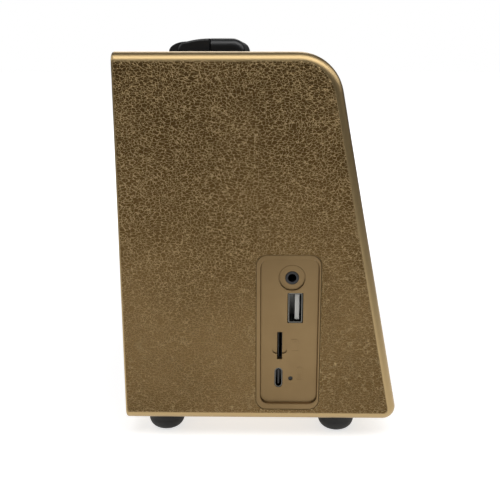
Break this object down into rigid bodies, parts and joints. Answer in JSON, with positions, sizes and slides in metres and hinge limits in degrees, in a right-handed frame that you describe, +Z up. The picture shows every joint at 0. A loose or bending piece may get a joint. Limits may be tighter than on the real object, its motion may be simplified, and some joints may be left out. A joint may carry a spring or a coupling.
{
  "type": "karaoke speaker",
  "caption": "Box-shaped karaoke speaker with a sloping front grille, folding top handle, top buttons, side socket panel and rear passive radiator.",
  "frame": {"origin": "on the floor under the middle of the box, at the underside of the feet", "axes": "+Z up, front grille faces -Y, socket panel on the -X side, rear cover faces +Y"},
  "size_m": [0.24, 0.119, 0.1727],
  "materials": {
    "case_gold": "champagne-gold moulded plastic with a fine leather grain on the sides and smooth rounded edges",
    "panel_gold": "smooth satin champagne-gold plastic",
    "back_plastic": "fine spark-eroded black plastic",
    "handle_black": "satin black moulded plastic",
    "grip_black": "soft-touch black rubber with a slight sheen",
    "tray_black": "fine matte black plastic",
    "button_black": "satin black buttons with raised symbols",
    "foot_rubber": "matt black rubber",
    "grille_metal": "dark bronze painted perforated steel",
    "screw_steel": "black-zinc steel fasteners",
    "pin_steel": "ground steel pin",
    "basket_steel": "black stamped steel",
    "magnet_ferrite": "grey ferrite ring with zinc-plated plates",
    "cone_paper": "dark pressed paper cone",
    "surround_rubber": "soft black rubber roll",
    "spider_cloth": "amber resin-dipped corrugated cloth",
    "radiator_plate_metal": "dark brushed aluminium disc with turned rings",
    "foam": "closed-cell foam strip",
    "connector_metal": "nickel-plated sheet connector shell",
    "connector_plastic": "black connector moulding",
    "tongue_plastic": "pale grey connector tongue",
    "reader_metal": "dark sheet steel",
    "light_lens": "milky light pipe",
    "board_green": "green solder mask over glass-fibre board",
    "component_black": "mixed electronic components",
    "heat_sink_aluminium": "extruded aluminium",
    "cell_wrap": "blue shrink sleeve",
    "lead_red": "red plastic insulation",
    "lead_black": "black plastic insulation"
  },
  "bodies": {
    "cabinet": {"main_shell": "case_gold", "rear_cover": "back_plastic", "rear_cover_screws": "screw_steel", "rear_seal": "foam", "front_grille": "grille_metal", "front_baffle": "back_plastic", "baffle_screws": "screw_steel", "driver_screws": "screw_steel", "radiator_frame": "back_plastic", "radiator_surround": "surround_rubber", "foot_front_left": "foot_rubber", "foot_front_right": "foot_rubber", "foot_rear_left": "foot_rubber", "foot_rear_right": "foot_rubber", "foot_screws": "screw_steel", "handle_tray": "tray_black", "control_strip": "tray_black", "button_board": "board_green", "button_switches": "component_black", "socket_panel": "panel_gold", "aux_jack": "connector_plastic", "usb_shell": "connector_metal", "usb_tongue": "tongue_plastic", "card_reader": "reader_metal", "usb_c_shell": "connector_metal", "usb_c_tongue": "connector_plastic", "charge_light": "light_lens", "io_board": "board_green", "main_board": "board_green", "board_components": "component_black", "heat_sink": "heat_sink_aluminium", "board_screws": "screw_steel", "battery_cells": "cell_wrap", "battery_holder": "tray_black", "battery_lead": "lead_red", "speaker_lead_left": "lead_black", "speaker_lead_right": "lead_red", "driver_left_basket": "basket_steel", "driver_left_magnet": "magnet_ferrite", "driver_left_surround": "surround_rubber", "driver_left_spider": "spider_cloth", "driver_right_basket": "basket_steel", "driver_right_magnet": "magnet_ferrite", "driver_right_surround": "surround_rubber", "driver_right_spider": "spider_cloth"},
    "handle": {"handle_frame": "handle_black", "handle_grip": "grip_black", "hinge_pins": "pin_steel"},
    "power_key": {"power_button": "button_black"},
    "mode_key": {"mode_button": "button_black"},
    "previous_key": {"previous_button": "button_black"},
    "play_key": {"play_button": "button_black"},
    "next_key": {"next_button": "button_black"},
    "echo_key": {"echo_button": "button_black"},
    "left_cone": {"driver_left_cone": "cone_paper", "driver_left_dust_cap": "cone_paper"},
    "right_cone": {"driver_right_cone": "cone_paper", "driver_right_dust_cap": "cone_paper"},
    "radiator": {"radiator_plate": "radiator_plate_metal"}
  },
  "joints": [
    {"name": "handle_fold", "type": "hinge", "parent": "cabinet", "child": "handle", "pos_m": [0, 0.03421, 0.1673], "axis": [-1, 0, 0], "range_deg": [0, 95]},
    {"name": "power_press", "type": "slide", "parent": "cabinet", "child": "power_key", "axis": [0, 0, -1], "range_m": [0, 0.0005], "stiffness_N_per_m": 400, "springref_m": -0.0006},
    {"name": "mode_press", "type": "slide", "parent": "cabinet", "child": "mode_key", "axis": [0, 0, -1], "range_m": [0, 0.0005], "stiffness_N_per_m": 400, "springref_m": -0.0006},
    {"name": "previous_press", "type": "slide", "parent": "cabinet", "child": "previous_key", "axis": [0, 0, -1], "range_m": [0, 0.0005], "stiffness_N_per_m": 400, "springref_m": -0.0006},
    {"name": "play_press", "type": "slide", "parent": "cabinet", "child": "play_key", "axis": [0, 0, -1], "range_m": [0, 0.0005], "stiffness_N_per_m": 400, "springref_m": -0.0006},
    {"name": "next_press", "type": "slide", "parent": "cabinet", "child": "next_key", "axis": [0, 0, -1], "range_m": [0, 0.0005], "stiffness_N_per_m": 400, "springref_m": -0.0006},
    {"name": "echo_press", "type": "slide", "parent": "cabinet", "child": "echo_key", "axis": [0, 0, -1], "range_m": [0, 0.0005], "stiffness_N_per_m": 400, "springref_m": -0.0006},
    {"name": "left_cone_stroke", "type": "slide", "parent": "cabinet", "child": "left_cone", "axis": [0, -0.9814, 0.1922], "range_m": [-0.002, 0.002], "stiffness_N_per_m": 1500, "deforming": ["driver_left_surround", "driver_left_spider"]},
    {"name": "right_cone_stroke", "type": "slide", "parent": "cabinet", "child": "right_cone", "axis": [0, -0.9814, 0.1922], "range_m": [-0.002, 0.002], "stiffness_N_per_m": 1500, "deforming": ["driver_right_surround", "driver_right_spider"]},
    {"name": "radiator_stroke", "type": "slide", "parent": "cabinet", "child": "radiator", "axis": [0, 1, 0], "range_m": [-0.002, 0.002], "stiffness_N_per_m": 1500, "deforming": ["radiator_surround"]}
  ]
}
